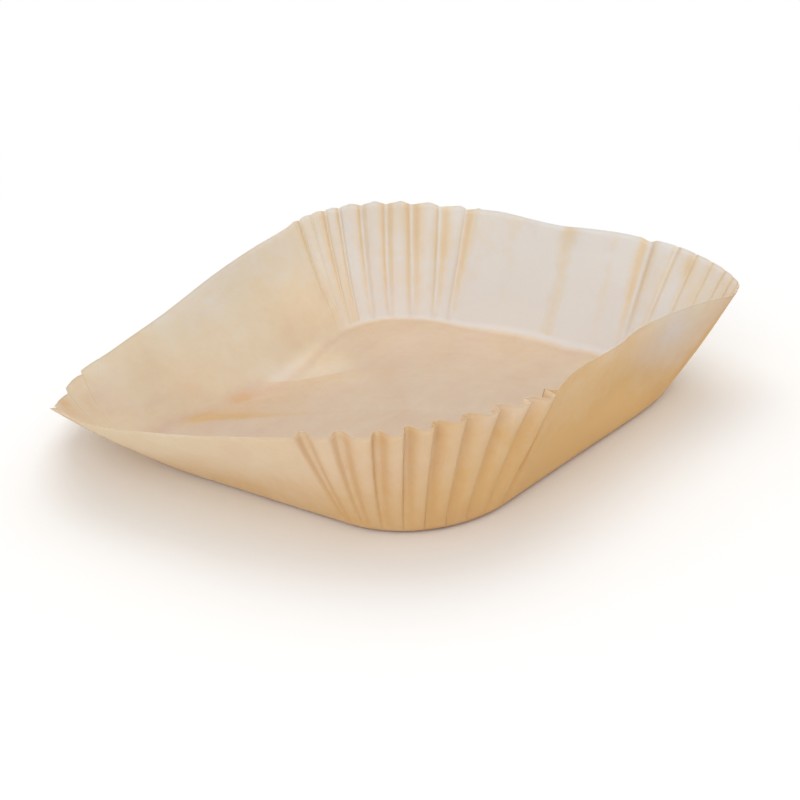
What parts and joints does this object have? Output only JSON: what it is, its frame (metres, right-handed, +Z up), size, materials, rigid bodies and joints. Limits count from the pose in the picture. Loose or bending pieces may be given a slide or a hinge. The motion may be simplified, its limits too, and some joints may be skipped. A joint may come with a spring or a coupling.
{
  "type": "air fryer paper liner",
  "caption": "Square paper tray with a flat floor, plain walls that lean outwards and pleated round corners, laid in a fryer basket under the food.",
  "frame": {"origin": "centre of the underside of the floor, on the surface that the liner stands on", "axes": "+Z up out of the open top, +X and +Y square to two of the plain walls"},
  "size_m": [0.2, 0.2, 0.042],
  "materials": {
    "paper": "matt unbleached greaseproof paper"
  },
  "bodies": {
    "root": {"paper_liner": "paper"}
  },
  "joints": []
}
